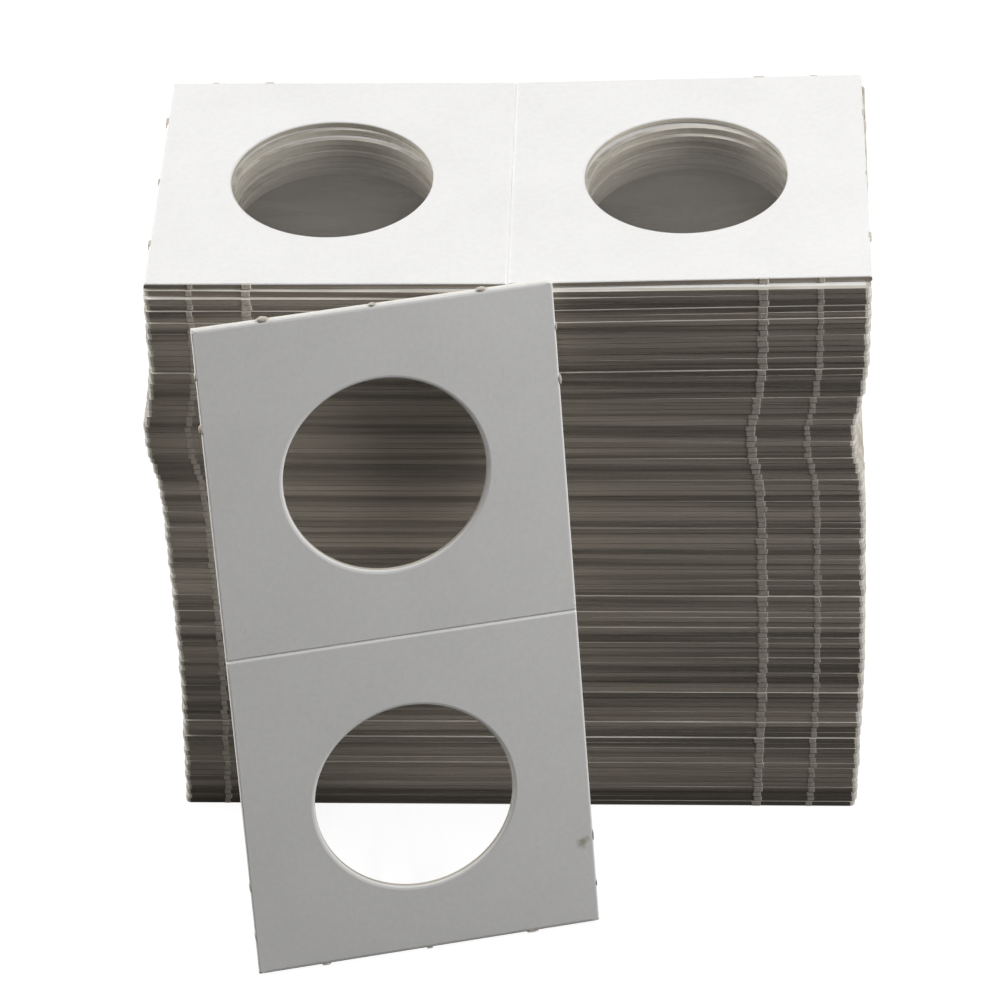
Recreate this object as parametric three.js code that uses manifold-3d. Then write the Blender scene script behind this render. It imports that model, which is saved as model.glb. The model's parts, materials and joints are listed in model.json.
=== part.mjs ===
// A stack of fold-over cardboard coin holders, with one more holder leaning on its front.
// Each holder is one long card, scored across its middle, with a round window in each half
// and a clear film over its inner face. Folding it shut traps a coin between the two films.
// Millimetres, +Z up, the front towards -Y, the origin at the centre of the stack's base.

import * as THREE from "three";
import { mergeVertices } from "three/addons/utils/BufferGeometryUtils.js";
import Module from "manifold-3d";

const wasm = await Module();
wasm.setup();

// One holder, lying open: its length runs along X and its inner face is up.
const CARD_LENGTH = 101.6;
const CARD_WIDTH = 50.8;
const BOARD_THICKNESS = 0.85;
const FILM_THICKNESS = 0.05;
const FILM_BOND = 0.03;
const WINDOW_DIAMETER = 29;
const FILM_DIP = 0.5; // how far the slack film sinks into its window
const FILM_DIP_MARGIN = 0.3; // between the dip's wall and the window's wall

// The score across the middle, where the two panels meet.
const CREASE_GAP = 0.3;
const FOLD_AXIS_HEIGHT = 0.15; // above the film, so that the closed panels don't press

// The torn nibs that held each card to its sheet, as distances from the middle of an edge.
const NIB_WIDTH = 1.4;
const NIB_HEIGHT = 0.4;
const LONG_EDGE_INNER_NIB = 35.8;
const LONG_EDGE_OUTER_NIB = 43.8;
const SHORT_EDGE_NIB = 15.4;

// The stack, counted from the bottom: pairs of cards, then single cards, then the top card.
const AIR_GAP = 0.08;
const PAIR_COUNT = 46;
const SINGLE_COUNT = 6;
const SEAM_INSET = 0.3; // how deep the joint between two cards of a pair lies behind their edges

// How the cards have slipped sideways: a broad bulge low down and a narrow dent high up.
const SLIP_RIGHT = 0.5;
const BULGE = { shift: 0.65, height: 28, spread: 22 };
const DENT = { shift: -1.6, height: 70, spread: 7 };
const SIDE_SCATTER = 0.3;
const DEPTH_SCATTER = 0.06;
const TURN_SCATTER = 0.2; // degrees

// From front to back, each card lies a little forward of the one below, except at the ledges:
// there the next card up lies further back, and a strip of the card's white face shows.
// A ledge is a card, counted up from 0, and the width of its strip.
const FORWARD_DRIFT = 0.044;
const LEDGES = new Map([
  [4, 0.05], [8, 0.1], [9, 0.12], [12, 0.1], [13, 0.3], [16, 0.3], [22, 0.1], [28, 0.12],
  [32, 0.08], [35, 0.15], [38, 0.18], [41, 0.25], [43, 0.12], [45, 0.1], [50, 0.1], [54, 0.1],
  [57, 0.1], [62, 0.1], [67, 0.1], [72, 0.05], [77, 0.1], [83, 0.3], [92, 0.25], [94, 0.25],
  [96, 0.35],
]);

// The top card, whose right panel springs up a little along its score.
const TOP_CARD = { x: 0.5, y: 0.4, turn: 0.2 };
const TOP_PANEL_RISE = 1.3; // degrees

// The single card that sticks out just under the top one: the leaning card rests on its edge.
const SEAT_SLIP = 0.5;
const SEAT_TURN = -0.5; // degrees

// The leaning card stands on its lower back edge, turned so that its right side is nearer.
const FOOT_LEFT = -36.6; // its lower left corner, along X
const FOOT_DISTANCE = 37.1; // the same corner, in front of the stack's face
const LEANING_TURN = 13.5; // degrees
const SEAT_CLEARANCE = 0.4;

// The number of sides of a window, on the cards that show and on the ones that don't.
const FINE_SIDES = 48;
const SINGLE_SIDES = 24;
const PAIR_SIDES = 16;

const FILM_LEVEL = BOARD_THICKNESS + FILM_BOND;
const CARD_THICKNESS = FILM_LEVEL + FILM_THICKNESS;
const BONDED_THICKNESS = BOARD_THICKNESS + FILM_THICKNESS;
const PITCH = BONDED_THICKNESS + AIR_GAP;
const PANEL_LENGTH = (CARD_LENGTH - CREASE_GAP) / 2;
const WINDOW_OFFSET = CARD_LENGTH / 4; // each window is centred in its half of the card
const WINDOW_RADIUS = WINDOW_DIAMETER / 2;
const LOOSE_CARDS = PAIR_COUNT * 2 + SINGLE_COUNT; // every card under the top one

const BOARD_FINISH = { color: 0xf1f0ec, roughness: 0.85, metalness: 0 };
const EDGE_FINISH = { color: 0xa8a298, roughness: 0.9, metalness: 0 };
const FILM_FINISH = {
  color: 0xf4f7f8,
  roughness: 0.15,
  metalness: 0,
  transparent: true,
  opacity: 0.25,
};

// A geometry's closed surface as a solid that can be joined and cut.
function toSolid(geometry) {
  const bare = geometry.clone();
  bare.deleteAttribute("normal");
  bare.deleteAttribute("uv");
  const welded = mergeVertices(bare);
  return new wasm.Manifold(
    new wasm.Mesh({
      numProp: 3,
      vertProperties: welded.attributes.position.array,
      triVerts: new Uint32Array(welded.index.array),
    }),
  );
}

function toGeometry(solid) {
  const mesh = solid.getMesh();
  const geometry = new THREE.BufferGeometry();
  geometry.setAttribute("position", new THREE.BufferAttribute(mesh.vertProperties, 3));
  geometry.setIndex(new THREE.BufferAttribute(mesh.triVerts, 1));
  geometry.computeVertexNormals();
  return geometry;
}

function named(name, geometry, finish) {
  const mesh = new THREE.Mesh(geometry, new THREE.MeshStandardMaterial(finish));
  mesh.name = name;
  return mesh;
}

// The edges of a sheet in order round it: which way each runs. Its outside is on the right.
const EDGES = [
  { side: "front", run: new THREE.Vector2(1, 0) },
  { side: "right", run: new THREE.Vector2(0, 1) },
  { side: "back", run: new THREE.Vector2(-1, 0) },
  { side: "left", run: new THREE.Vector2(0, -1) },
];

// A rectangle centred on the origin, with pointed nibs on its edges and round windows in it.
// Nibs are given per side, as places along X or Y from the middle of that side.
function sheetOutline(length, width, nibs = {}, windows = []) {
  const half = new THREE.Vector2(length / 2, width / 2);
  const shape = new THREE.Shape().moveTo(-half.x, -half.y);
  for (const { side, run } of EDGES) {
    const outward = new THREE.Vector2(run.y, -run.x);
    const middle = outward.clone().multiply(half);
    const forward = run.x + run.y;
    const places = (nibs[side] ?? []).map((place) => place * forward).sort((a, b) => a - b);
    for (const place of places) {
      for (const [along, rise] of [[-NIB_WIDTH / 2, 0], [0, NIB_HEIGHT], [NIB_WIDTH / 2, 0]]) {
        const point = middle.clone().addScaledVector(run, place + along);
        point.addScaledVector(outward, rise);
        shape.lineTo(point.x, point.y);
      }
    }
    const corner = middle.clone().add(run.clone().multiply(half));
    shape.lineTo(corner.x, corner.y);
  }
  for (const x of windows) {
    shape.holes.push(new THREE.Path().absarc(x, 0, WINDOW_RADIUS, 0, 2 * Math.PI));
  }
  return shape;
}

function plate(shape, thickness, sides = FINE_SIDES) {
  return new THREE.ExtrudeGeometry(shape, {
    depth: thickness,
    bevelEnabled: false,
    curveSegments: sides / 2,
  });
}

function box(length, width, bottom, top) {
  return new THREE.BoxGeometry(length, width, top - bottom).translate(0, 0, (top + bottom) / 2);
}

// An upright disc, as used to cut a window or to form the film's dip.
function disc(radius, x, bottom, top, sides) {
  return new THREE.CylinderGeometry(radius, radius, top - bottom, sides)
    .rotateX(Math.PI / 2)
    .translate(x, 0, (top + bottom) / 2);
}

// One panel of a folding card, centred in its own frame, with its fold edge on the left.
function panelBoard(name, outerNibs) {
  const fromPanelMiddle = (place) => place - (CREASE_GAP + PANEL_LENGTH) / 2;
  const longEdge = [LONG_EDGE_INNER_NIB, LONG_EDGE_OUTER_NIB].map(fromPanelMiddle);
  const nibs = { front: longEdge, back: longEdge, right: outerNibs };
  const window = fromPanelMiddle(WINDOW_OFFSET);
  const shape = sheetOutline(PANEL_LENGTH, CARD_WIDTH, nibs, [window]);
  return named(name, plate(shape, BOARD_THICKNESS), BOARD_FINISH);
}

// The clear film over a panel's inner face. It dips a little into the window.
function panelFilm(name) {
  const window = WINDOW_OFFSET - (CREASE_GAP + PANEL_LENGTH) / 2;
  const dipRadius = WINDOW_RADIUS - FILM_DIP_MARGIN;
  const floor = FILM_LEVEL - FILM_DIP;
  const top = FILM_LEVEL + FILM_THICKNESS;
  const sheet = toSolid(box(PANEL_LENGTH, CARD_WIDTH, FILM_LEVEL, top));
  const plug = toSolid(disc(dipRadius, window, floor, top, FINE_SIDES));
  const hollowRadius = dipRadius - FILM_THICKNESS;
  const hollow = disc(hollowRadius, window, floor + FILM_THICKNESS, top + 1, FINE_SIDES);
  return named(name, toGeometry(sheet.add(plug).subtract(toSolid(hollow))), FILM_FINISH);
}

// A panel's board and film, as a group whose origin is on the fold, under the film's top face.
function panel(prefix, outerNibs) {
  const group = new THREE.Group();
  const middle = (CREASE_GAP + PANEL_LENGTH) / 2;
  for (const piece of [panelBoard(prefix + "_board", outerNibs), panelFilm(prefix + "_film")]) {
    piece.position.x = middle;
    group.add(piece);
  }
  return group;
}

// A repeatable scatter between -0.5 and 0.5, which doesn't fall into a pattern.
function scatter(index, stride) {
  return ((index * stride) % 1) - 0.5;
}

function bump({ shift, height, spread }, level) {
  return shift * Math.exp(-(((level - height) / spread) ** 2));
}

// How far back a card lies, reckoned down from the seat card over every ledge between them.
function cardDepth(index) {
  const seat = LOOSE_CARDS - 1;
  let depth = -SEAT_SLIP + (seat - index) * FORWARD_DRIFT;
  for (const [card, strip] of LEDGES) {
    depth -= card >= index && card < seat ? strip : 0;
  }
  return index === seat ? depth : depth + scatter(index, 0.414) * DEPTH_SCATTER;
}

// Where a card of the stack lies: its slip along X and Y, and its turn.
function cardPlace(index) {
  const level = index * PITCH;
  const slip = SLIP_RIGHT + bump(BULGE, level) + bump(DENT, level);
  const turn = index === LOOSE_CARDS - 1 ? SEAT_TURN : scatter(index, 0.732) * TURN_SCATTER;
  return {
    x: slip + scatter(index, 0.618) * SIDE_SCATTER,
    y: cardDepth(index),
    turn: THREE.MathUtils.degToRad(turn),
  };
}

function settle(geometry, place) {
  return geometry.rotateZ(place.turn).translate(place.x, place.y, 0);
}

// A card of the stack as one solid: the windows go up to the film, which closes them,
// and the film dips a little from above.
function singleCard(index) {
  const place = cardPlace(index);
  const longEdge = [LONG_EDGE_INNER_NIB, LONG_EDGE_OUTER_NIB].flatMap((at) => [-at, at]);
  const shortEdge = [-SHORT_EDGE_NIB, 0, SHORT_EDGE_NIB];
  const nibs = { front: longEdge, back: longEdge, left: shortEdge, right: shortEdge };
  const shape = sheetOutline(CARD_LENGTH, CARD_WIDTH, nibs);
  let card = toSolid(settle(plate(shape, BONDED_THICKNESS), place));
  const dipFloor = BONDED_THICKNESS - FILM_DIP;
  const dipRadius = WINDOW_RADIUS - FILM_DIP_MARGIN;
  for (const x of [-WINDOW_OFFSET, WINDOW_OFFSET]) {
    const below = disc(WINDOW_RADIUS, x, -1, dipFloor - FILM_THICKNESS, SINGLE_SIDES);
    const above = disc(dipRadius, x, dipFloor, BONDED_THICKNESS + 1, SINGLE_SIDES);
    card = card.subtract(toSolid(settle(below, place))).subtract(toSolid(settle(above, place)));
  }
  const mesh = named("card_" + (index + 1), toGeometry(card), BOARD_FINISH);
  mesh.position.z = index * PITCH;
  return mesh;
}

// Two cards joined by a core that lies behind their edges, so that both edges still show.
// They share their windows, which are open underneath and closed by the upper film.
function cardPair(pair) {
  const lower = cardPlace(pair * 2);
  const upper = cardPlace(pair * 2 + 1);
  const between = { x: (lower.x + upper.x) / 2, y: (lower.y + upper.y) / 2, turn: 0 };
  const height = PITCH + BONDED_THICKNESS;
  const inset = SEAM_INSET * 2;
  const half = BONDED_THICKNESS / 2;
  const core = box(CARD_LENGTH - inset, CARD_WIDTH - inset, half, height - half);
  let cards = toSolid(settle(box(CARD_LENGTH, CARD_WIDTH, 0, BONDED_THICKNESS), lower))
    .add(toSolid(settle(core, between)))
    .add(toSolid(settle(box(CARD_LENGTH, CARD_WIDTH, PITCH, height), upper)));
  for (const x of [-WINDOW_OFFSET, WINDOW_OFFSET]) {
    const window = disc(WINDOW_RADIUS, x, -1, height - FILM_THICKNESS, PAIR_SIDES);
    cards = cards.subtract(toSolid(settle(window, between)));
  }
  const name = "card_pair_" + String(pair + 1).padStart(2, "0");
  const mesh = named(name, toGeometry(cards), EDGE_FINISH);
  mesh.position.z = pair * 2 * PITCH;
  return mesh;
}

function stack() {
  const group = new THREE.Group();
  for (let pair = 0; pair < PAIR_COUNT; pair += 1) {
    group.add(cardPair(pair));
  }
  for (let index = PAIR_COUNT * 2; index < LOOSE_CARDS; index += 1) {
    group.add(singleCard(index));
  }
  return group;
}

// The top card: its left panel lies flat, and its right panel turns on the fold axis.
function topCard() {
  const card = new THREE.Group();
  const shortEdge = [-SHORT_EDGE_NIB, 0, SHORT_EDGE_NIB];
  const left = panel("top_left", shortEdge);
  left.rotation.z = Math.PI;
  const hinge = new THREE.Group();
  hinge.position.z = CARD_THICKNESS + FOLD_AXIS_HEIGHT;
  hinge.rotation.y = -THREE.MathUtils.degToRad(TOP_PANEL_RISE);
  const right = panel("top_right", shortEdge);
  right.position.z = -hinge.position.z;
  hinge.add(right);
  card.add(left, hinge);
  card.position.set(TOP_CARD.x, TOP_CARD.y, LOOSE_CARDS * PITCH);
  card.rotation.z = THREE.MathUtils.degToRad(TOP_CARD.turn);
  return card;
}

// The leaning card. Its back touches the edge of the seat card at its own right-hand side.
function leaningCard() {
  const turn = THREE.MathUtils.degToRad(LEANING_TURN);
  const foot = new THREE.Vector3(FOOT_LEFT, -CARD_WIDTH / 2 - FOOT_DISTANCE, 0);
  const seatHeight = (LOOSE_CARDS - 1) * PITCH + BONDED_THICKNESS;
  const seatFront = -CARD_WIDTH / 2 - SEAT_SLIP - SEAT_CLEARANCE;
  const run = (seatFront - foot.y - CARD_WIDTH * Math.sin(turn)) / Math.cos(turn);
  // A card too short to reach the seat leans on the stack's face with its own top edge.
  const reachesSeat = CARD_LENGTH > Math.hypot(run, seatHeight);
  const lean = reachesSeat ? Math.atan2(run, seatHeight) : Math.asin(run / CARD_LENGTH);

  const across = new THREE.Vector3(Math.cos(turn), Math.sin(turn), 0);
  const inward = new THREE.Vector3(-Math.sin(turn), Math.cos(turn), 0);
  const up = new THREE.Vector3(0, 0, Math.cos(lean)).addScaledVector(inward, Math.sin(lean));
  const facing = new THREE.Vector3().crossVectors(across, up);

  const card = new THREE.Group();
  const upper = panel("leaning_upper", [-SHORT_EDGE_NIB, 0, SHORT_EDGE_NIB]);
  const lower = panel("leaning_lower", []);
  lower.rotation.z = Math.PI;
  card.add(upper, lower);
  const left = across.clone().negate();
  card.quaternion.setFromRotationMatrix(new THREE.Matrix4().makeBasis(up, left, facing));
  card.position.copy(foot);
  card.position.addScaledVector(across, CARD_WIDTH / 2).addScaledVector(up, CARD_LENGTH / 2);
  return card;
}

const coinHolders = new THREE.Group();
coinHolders.add(stack(), topCard(), leaningCard());

export default coinHolders;
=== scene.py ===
"""A pack of fold-over cardboard coin holders: a stack of cards, with one more leaning on its front.

Every card is made lying open in a frame of its own and is then settled where it belongs.
In that frame the length runs along X, the score crosses it at x = 0, the outer face is at
z = 0, and the inner face, which the clear film covers, is up. Everything is in metres.
"""

import json
import math
import random
from typing import NamedTuple

import bmesh
import bpy
from bpy.props import FloatProperty, FloatVectorProperty, PointerProperty
from mathutils import Matrix, Vector


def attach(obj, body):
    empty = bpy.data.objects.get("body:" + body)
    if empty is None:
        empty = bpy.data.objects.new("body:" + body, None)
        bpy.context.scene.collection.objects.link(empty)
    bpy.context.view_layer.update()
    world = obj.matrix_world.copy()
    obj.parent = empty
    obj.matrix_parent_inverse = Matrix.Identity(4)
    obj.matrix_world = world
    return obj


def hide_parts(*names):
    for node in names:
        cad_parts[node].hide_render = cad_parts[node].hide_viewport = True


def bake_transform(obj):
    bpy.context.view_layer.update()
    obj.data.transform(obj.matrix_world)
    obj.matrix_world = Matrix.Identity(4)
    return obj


bl_info = {
    "name": "Coin holder pack",
    "version": (1, 0, 0),
    "blender": (4, 5, 0),
    "location": "View3D > Sidebar > Coin holders",
    "description": "Makes a stack of fold-over coin holders and one that leans on it",
    "category": "Add Mesh",
}

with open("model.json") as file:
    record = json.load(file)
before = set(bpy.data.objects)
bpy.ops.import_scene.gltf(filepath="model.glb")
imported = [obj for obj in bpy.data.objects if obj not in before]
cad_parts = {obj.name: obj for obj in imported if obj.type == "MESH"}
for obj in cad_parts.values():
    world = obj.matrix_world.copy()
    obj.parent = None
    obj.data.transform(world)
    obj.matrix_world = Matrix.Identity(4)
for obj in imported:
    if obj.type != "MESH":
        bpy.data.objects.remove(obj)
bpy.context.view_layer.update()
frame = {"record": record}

TINY = 1e-6  # places closer than this are one place
CUT_TOLERANCE = 1e-7  # a vertex closer than this to a cut isn't cut off
FOLD_MISS = 5e-5  # how far the leaning card's fold may be off the solids' joint

LOOSE_CARDS = 98  # every card under the top one
PAIRED_CARDS = 92  # the lowest of them share solids, two to a solid
FINE_CARDS = 16  # the loose cards whose windows are made with more sides
FINE_SIDES, COARSE_SIDES, MAIN_SIDES = 48, 24, 96
ROUND_STEPS = 3  # faces across a rounding
SLACK_RINGS = 4  # rings of faces in the film over a window
FOLD_STEPS = 12  # strips across a score

# The steps by which the scatters wander from card to card without falling into a pattern.
SIDE_STRIDE, DEPTH_STRIDE, TURN_STRIDE, PUNCH_STRIDE = 0.618, 0.414, 0.732, 0.271

# The smaller nibs beside the largest one: the outer ones of a long edge, and the front one and
# the middle one of an end.
OUTER_NIB, FRONT_NIB, MIDDLE_NIB = 0.66, 0.95, 0.6
FLAT_NIB, TUFT_NIB = 0.49, 0.57  # half the thickness of a nib, in boards
NEAR_RIM = 0.45  # a cut face further out, in lengths or widths of a card, is on its outline

# The cards whose front edge stands out under the next card up, counted from 0 at the bottom,
# and the width of the strip of white face that shows there.
LEDGES = {
    4: 0.05e-3, 8: 0.1e-3, 9: 0.12e-3, 12: 0.1e-3, 13: 0.3e-3, 16: 0.3e-3, 22: 0.1e-3,
    28: 0.12e-3, 32: 0.08e-3, 35: 0.15e-3, 38: 0.18e-3, 41: 0.25e-3, 43: 0.12e-3,
    45: 0.1e-3, 50: 0.1e-3, 54: 0.1e-3, 57: 0.1e-3, 62: 0.1e-3, 67: 0.1e-3, 72: 0.05e-3,
    77: 0.1e-3, 83: 0.3e-3, 92: 0.25e-3, 94: 0.25e-3, 96: 0.35e-3,
}  # fmt: skip

# The loose cards that have a film of their own, and how many films it stands for: its own and
# those of the cards between it and the next film up. The lowest hides all that is under it.
GATHERED_FILMS = {96: 2, 93: 3, 90: 99}

# The finishes of a board, and of a film, by their place among a piece's materials.
FACE, CUT, END, PUNCHED, TORN, WORN_AND_SHADED = 0, 1, 2, 3, 4, 5
BONDED, SLACK = 0, 1


def length(name, description, default):
    return FloatProperty(
        name=name, description=description, default=default, unit="LENGTH", precision=5
    )


def angle(name, description, degrees):
    return FloatProperty(
        name=name, description=description, default=math.radians(degrees), unit="ROTATION"
    )


def number(name, description, default):
    return FloatProperty(name=name, description=description, default=default, precision=4)


def colour(name, description, default):
    return FloatVectorProperty(
        name=name, description=description, default=default, subtype="COLOR", size=3, min=0, max=1
    )


def position(name, description, default):
    return FloatVectorProperty(
        name=name, description=description, default=default, subtype="TRANSLATION", unit="LENGTH"
    )


class CardSizes(bpy.types.PropertyGroup):
    """The sizes of one holder, lying open."""

    length: length("Length", "Long side of an open card", 0.1016)
    width: length("Width", "Short side of a card, along its score", 0.0508)
    board: length("Board", "Thickness of the board", 0.00085)
    bond: length("Film bond", "Gap between the board and its film", 0.00003)
    film: length("Film", "Thickness of the film", 0.00005)
    air: length("Air", "Gap between two cards of the stack", 0.00008)
    window: length("Window", "Diameter of a window", 0.029)
    slack: length("Film slack", "How far the film sinks into a window", 0.00025)
    edge_round: length("Edge rounding", "Rounding of the upper rims by the cutting die", 0.0003)
    worn_round: length("Worn rounding", "The same on the leaning card's ends and windows", 0.0006)
    back_round: length("Back rounding", "Rounding of the lower rims", 0.00012)
    score_width: length("Score width", "Width of the scored groove", 0.00065)
    score_depth: length("Score depth", "Depth of the scored groove", 0.00018)
    fold_half: length("Fold reach", "How far the bend reaches from the score", 0.0005)
    fold_axis: length("Fold axis", "Height of the fold's axis over the film", 0.00015)
    corner_round: length("Corner rounding", "Radius of the corners of a loose card", 0.00075)
    nib_width: length("Nib width", "Width of a torn nib", 0.0017)
    nib_height: length("Nib height", "How far a nib of the leaning card stands out", 0.0004)
    low_nib: length("Low nib", "The same on its lower half, which is rubbed down", 0.00012)
    top_nib: length("Top nib", "How far a nib of the top card stands out", 0.0002)
    worn_nib: length("Worn nib", "How far a nib of a loose card stands out", 0.0001)
    nib_inner: length("Inner nib", "Inner nib of a long edge, from the score", 0.0358)
    nib_outer: length("Outer nib", "Outer nib of a long edge, from the score", 0.0438)
    nib_shift: length("Nib shift", "How much further out the nibs of the left half lie", 0.0006)
    nib_side: length("Side nib", "Nib of a short edge, from its middle", 0.0154)
    # The dull rim is partly wear and partly painted shade, where the card above shades a loose
    # card's face.
    rubbed: length("Rubbed rim", "Width of the dull rim on the face of a loose card", 0.0007)
    punch_scatter: length("Punch scatter", "Spread of the windows' places across the cards", 0.0003)


class StackLayout(bpy.types.PropertyGroup):
    """How the cards of the stack have slipped."""

    slip: length("Slip", "How far the whole stack lies to the right", 0.0005)
    bulge: length("Bulge", "Sideways slip of the broad bulge", 0.00065)
    bulge_height: length("Bulge height", "Height of its middle", 0.028)
    bulge_spread: length("Bulge spread", "How far it spreads up and down", 0.022)
    dent: length("Dent", "Sideways slip of the narrow dent", -0.0016)
    dent_height: length("Dent height", "Height of its middle", 0.07)
    dent_spread: length("Dent spread", "How far it spreads up and down", 0.007)
    side_scatter: length("Side scatter", "Spread of single cards along X", 0.0003)
    depth_scatter: length("Depth scatter", "Spread of single cards along Y", 0.00006)
    turn_scatter: angle("Turn scatter", "Spread of the cards' turns", 0.2)
    drift: length("Forward drift", "How far each card lies in front of the one below", 0.000044)
    seat_slip: length("Seat slip", "How far the highest loose card sticks out", 0.0005)
    seat_turn: angle("Seat turn", "Turn of the highest loose card", -0.5)
    seat_punch: length("Seat punch", "How far back its windows are punched", 0.0005)
    fan_low: length("Fan start", "Height from which cards rise at their right end", 0.045)
    fan_high: length("Fan end", "Height at which they rise as far as the top card", 0.095)
    top_x: length("Top card X", "Place of the top card along X", 0.0005)
    top_y: length("Top card Y", "Place of the top card along Y", 0.0004)
    top_turn: angle("Top card turn", "Turn of the top card", 0.2)
    top_rise: angle("Top card rise", "How far its right panel springs up", 1.3)
    top_punch_x: length("Top punch X", "How far along it its windows are punched", -0.0004)
    top_punch_y: length("Top punch Y", "How far back its windows are punched", 0.0005)


class LeaningPlace(bpy.types.PropertyGroup):
    """Where the leaning card stands."""

    turn: angle("Turn", "Turn of the card about the upright", 13.5)
    foot_left: length("Foot X", "Its lower left corner, along X", -0.0366)
    foot_distance: length("Foot distance", "The same corner, in front of the stack", 0.0371)
    clearance: length("Clearance", "Between its back and the edge it leans on", 0.0004)
    punch_x: length("Punch along", "How far up the card its windows are punched", -0.0003)
    punch_y: length("Punch across", "How far across it its windows are punched", 0.0003)
    stain_low: length("Stain along", "The brown speck, along the card from its score", -0.0373)
    stain_side: length("Stain across", "The brown speck, across the card", -0.0238)
    stain_size: length("Stain size", "Half the length of the brown speck", 0.0013)


class BoardColours(bpy.types.PropertyGroup):
    """The colours of the board and the film."""

    white: colour("Face", "Coated face of the board", (0.90, 0.895, 0.885))
    cloud: colour("Face clouds", "Its slightly darker clouds", (0.83, 0.825, 0.81))
    # The loose cards' face is the top card's coated board painted darker as shade: its strips and
    # window rims lie under the cards above.
    loose: colour("Loose face", "Coated face of a loose card", (0.82, 0.81, 0.79))
    shaded_loose_cloud: colour("Loose clouds", "Its slightly darker clouds", (0.75, 0.74, 0.715))
    # The rim colours are partly wear and partly painted shade from the cards above.
    worn_and_shaded_light: colour("Rubbed rim", "Light parts of a loose card's rim", (0.76, 0.73, 0.66))
    worn_and_shaded_dark: colour("Rubbed rim, dark", "Its dark parts", (0.46, 0.43, 0.375))
    # A painted highlight: the pale rim on the leaning card's face stands for its rounded rims
    # catching the lamps.
    highlit_rim: colour("Highlit rim", "Rim of the leaning card's face", (0.96, 0.955, 0.94))
    # The leaning card's cut edges are partly the board's own pale edge and partly painted highlight
    # on its rounded rims.
    highlit_edge_light: colour("Highlit edge", "Light layers of its edges", (0.97, 0.95, 0.90))
    highlit_edge_dark: colour("Highlit edge, dark", "Dark layers of its edges", (0.82, 0.79, 0.72))
    stain: colour("Stain", "The brown speck on the leaning card", (0.40, 0.36, 0.27))
    cut_light: colour("Cut edge", "Light layers of a cut edge", (0.545, 0.485, 0.41))
    cut_dark: colour("Cut edge, dark", "Dark layers of a cut edge", (0.12, 0.105, 0.087))
    end_light: colour("Cut end", "Light layers of a cut end", (0.95, 0.915, 0.84))
    end_dark: colour("Cut end, dark", "Dark layers of a cut end", (0.72, 0.675, 0.60))
    punched_light: colour("Window edge", "Light layers of a window's edge", (0.78, 0.735, 0.645))
    punched_dark: colour("Window edge, dark", "Its dark layers", (0.38, 0.345, 0.29))
    # Painted shade: this colour darkens the cut edges of the lowest cards, where shade falls near
    # the floor.
    floor_shade: colour("Shade", "Darkening on the edges of the lowest cards", (0.06, 0.053, 0.045))
    torn: colour("Torn fibres", "Fibres of the torn nibs", (0.66, 0.625, 0.565))
    film: colour("Film haze", "The dull light that a film throws back", (0.176, 0.163, 0.144))
    film_share: number("Film cover", "How much a slack film hides", 0.11)
    clear_share: number("Clear film cover", "The same on the leaning card", 0.035)
    bonded_share: number("Bonded film cover", "How much the film hides on the board", 0.02)


class StageSettings(bpy.types.PropertyGroup):
    """The floor, the light and the camera."""

    floor: colour("Floor", "Floor as the object's light meets it", (0.16, 0.158, 0.152))
    shadow: number("Shadow share", "How much of the object's shadow the floor shows", 0.14)
    white: number("White", "Strength of the white that the floor shows", 1.09)
    sky: number("Sky", "Strength of the even light from all round", 0.03)
    lamps: number("Lamps", "Strength of each of the two lamps, in watts", 3.3)
    lamp_size: length("Lamp size", "Side of a lamp", 0.35)
    left_lamp: position("Left lamp", "Place of the lamp on the left", (-0.463, 0.126, 0.3))
    right_lamp: position("Right lamp", "Place of the lamp on the right", (0.429, -0.098, 0.435))
    lamp_aim: position("Lamp aim", "Point that both lamps face", (0.0, -0.02, 0.06))
    camera_turn: angle("Camera azimuth", "Turn of the camera round the object", 2.837)
    camera_height: angle("Camera elevation", "Height of the camera over the horizon", 38.308)
    camera_roll: angle("Camera roll", "Roll of the camera", -1.647)
    camera_reach: length("Camera distance", "Distance of the camera from its aim", 0.72403)
    camera_lens: number("Lens", "Focal length in millimetres, for a 36 mm sensor", 172.67)
    aim_x: length("Aim X", "Point that the camera looks at, along X", -0.002473)
    aim_z: length("Aim Z", "Height of that point", 0.038633)


class CoinHolderPack(bpy.types.PropertyGroup):
    """Everything that can be changed."""

    card: PointerProperty(type=CardSizes)
    stack: PointerProperty(type=StackLayout)
    leaning: PointerProperty(type=LeaningPlace)
    colours: PointerProperty(type=BoardColours)
    stage: PointerProperty(type=StageSettings)


# Where things lie


def scatter(index, stride):
    """A repeatable scatter between -0.5 and 0.5."""
    return (index * stride) % 1 - 0.5


def swell(shift, height, spread, level):
    """How far a level is shifted by a swelling of the stack at a certain height."""
    return shift * math.exp(-(((level - height) / spread) ** 2))


def ease(share):
    """A smooth step from 0 to 1."""
    share = min(1.0, max(0.0, share))
    return share * share * (3 - 2 * share)


def card_level(card, index):
    return index * (card.board + card.film + card.air)


def film_level(card):
    return card.board + card.bond + card.film / 2


def fold_axis_height(card):
    return card.board + card.bond + card.film + card.fold_axis


def card_depth(stack, index):
    """How far back a loose card lies, reckoned down from the highest one."""
    seat = LOOSE_CARDS - 1
    strips = sum(strip for ledge, strip in LEDGES.items() if index <= ledge < seat)
    depth = (seat - index) * stack.drift - stack.seat_slip - strips
    return depth if index == seat else depth + scatter(index, DEPTH_STRIDE) * stack.depth_scatter


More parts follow.
